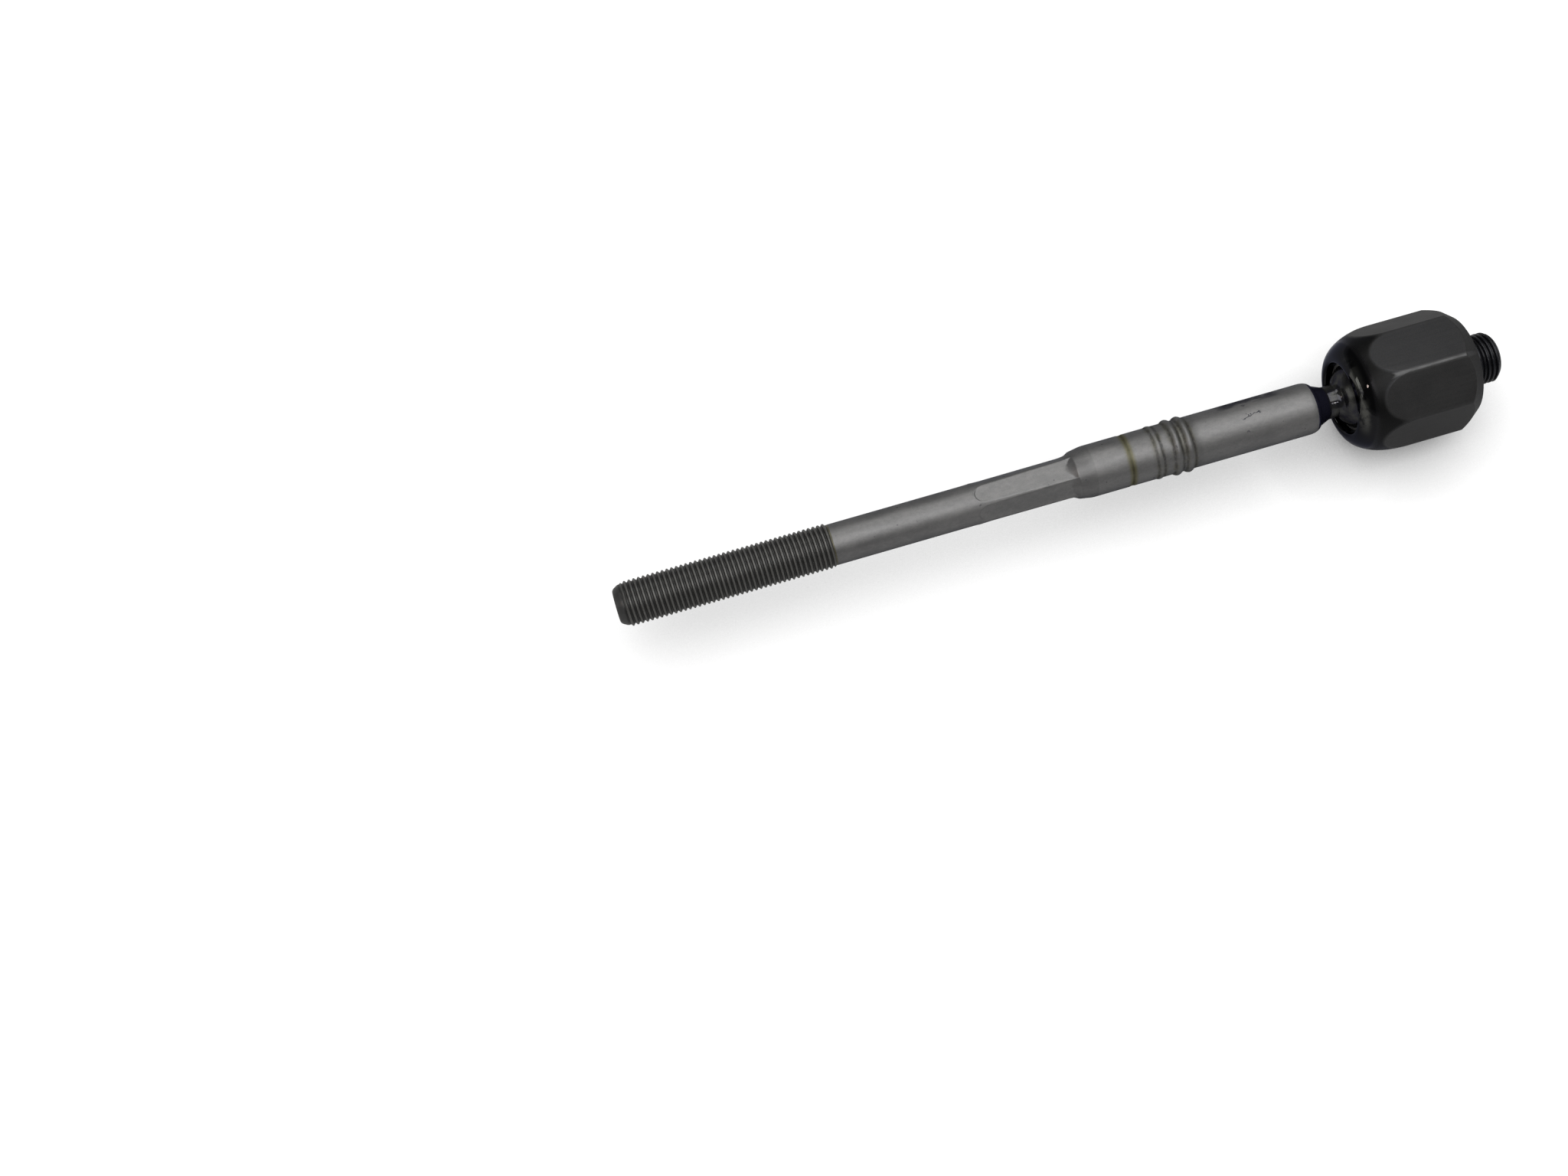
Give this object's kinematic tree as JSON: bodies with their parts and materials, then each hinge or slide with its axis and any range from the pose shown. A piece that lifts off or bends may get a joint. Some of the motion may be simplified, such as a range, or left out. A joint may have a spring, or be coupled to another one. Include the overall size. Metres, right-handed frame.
{
  "type": "inner tie rod",
  "caption": "Steering inner tie rod: an axial ball joint in an octagonal housing with a threaded stud, on a long rod with wrench flats and a threaded tip.",
  "frame": {"origin": "centre of the housing's back face, where the stud starts", "axes": "+X along the stud, away from the housing; the rod runs along -X; +Z is the normal of one flat of the octagon"},
  "size_m": [0.2846, 0.037, 0.037],
  "materials": {
    "dark_steel": "phosphated and oiled",
    "seat_plastic": "satin",
    "bare_steel": "satin, with a polished ball and neck"
  },
  "bodies": {
    "housing": {"joint_housing": "dark_steel"},
    "seat": {"ball_seat": "seat_plastic"},
    "rod": {"tie_rod": "bare_steel"}
  },
  "joints": [
    {"name": "swing_plane", "type": "hinge", "parent": "housing", "child": "seat", "pos_m": [-0.0293, 0, 0], "axis": [1, 0, 0], "continuous": true},
    {"name": "rod_tilt", "type": "hinge", "parent": "seat", "child": "rod", "pos_m": [-0.0293, 0, 0], "axis": [0, 1, 0], "range_deg": [-22, 22]}
  ]
}
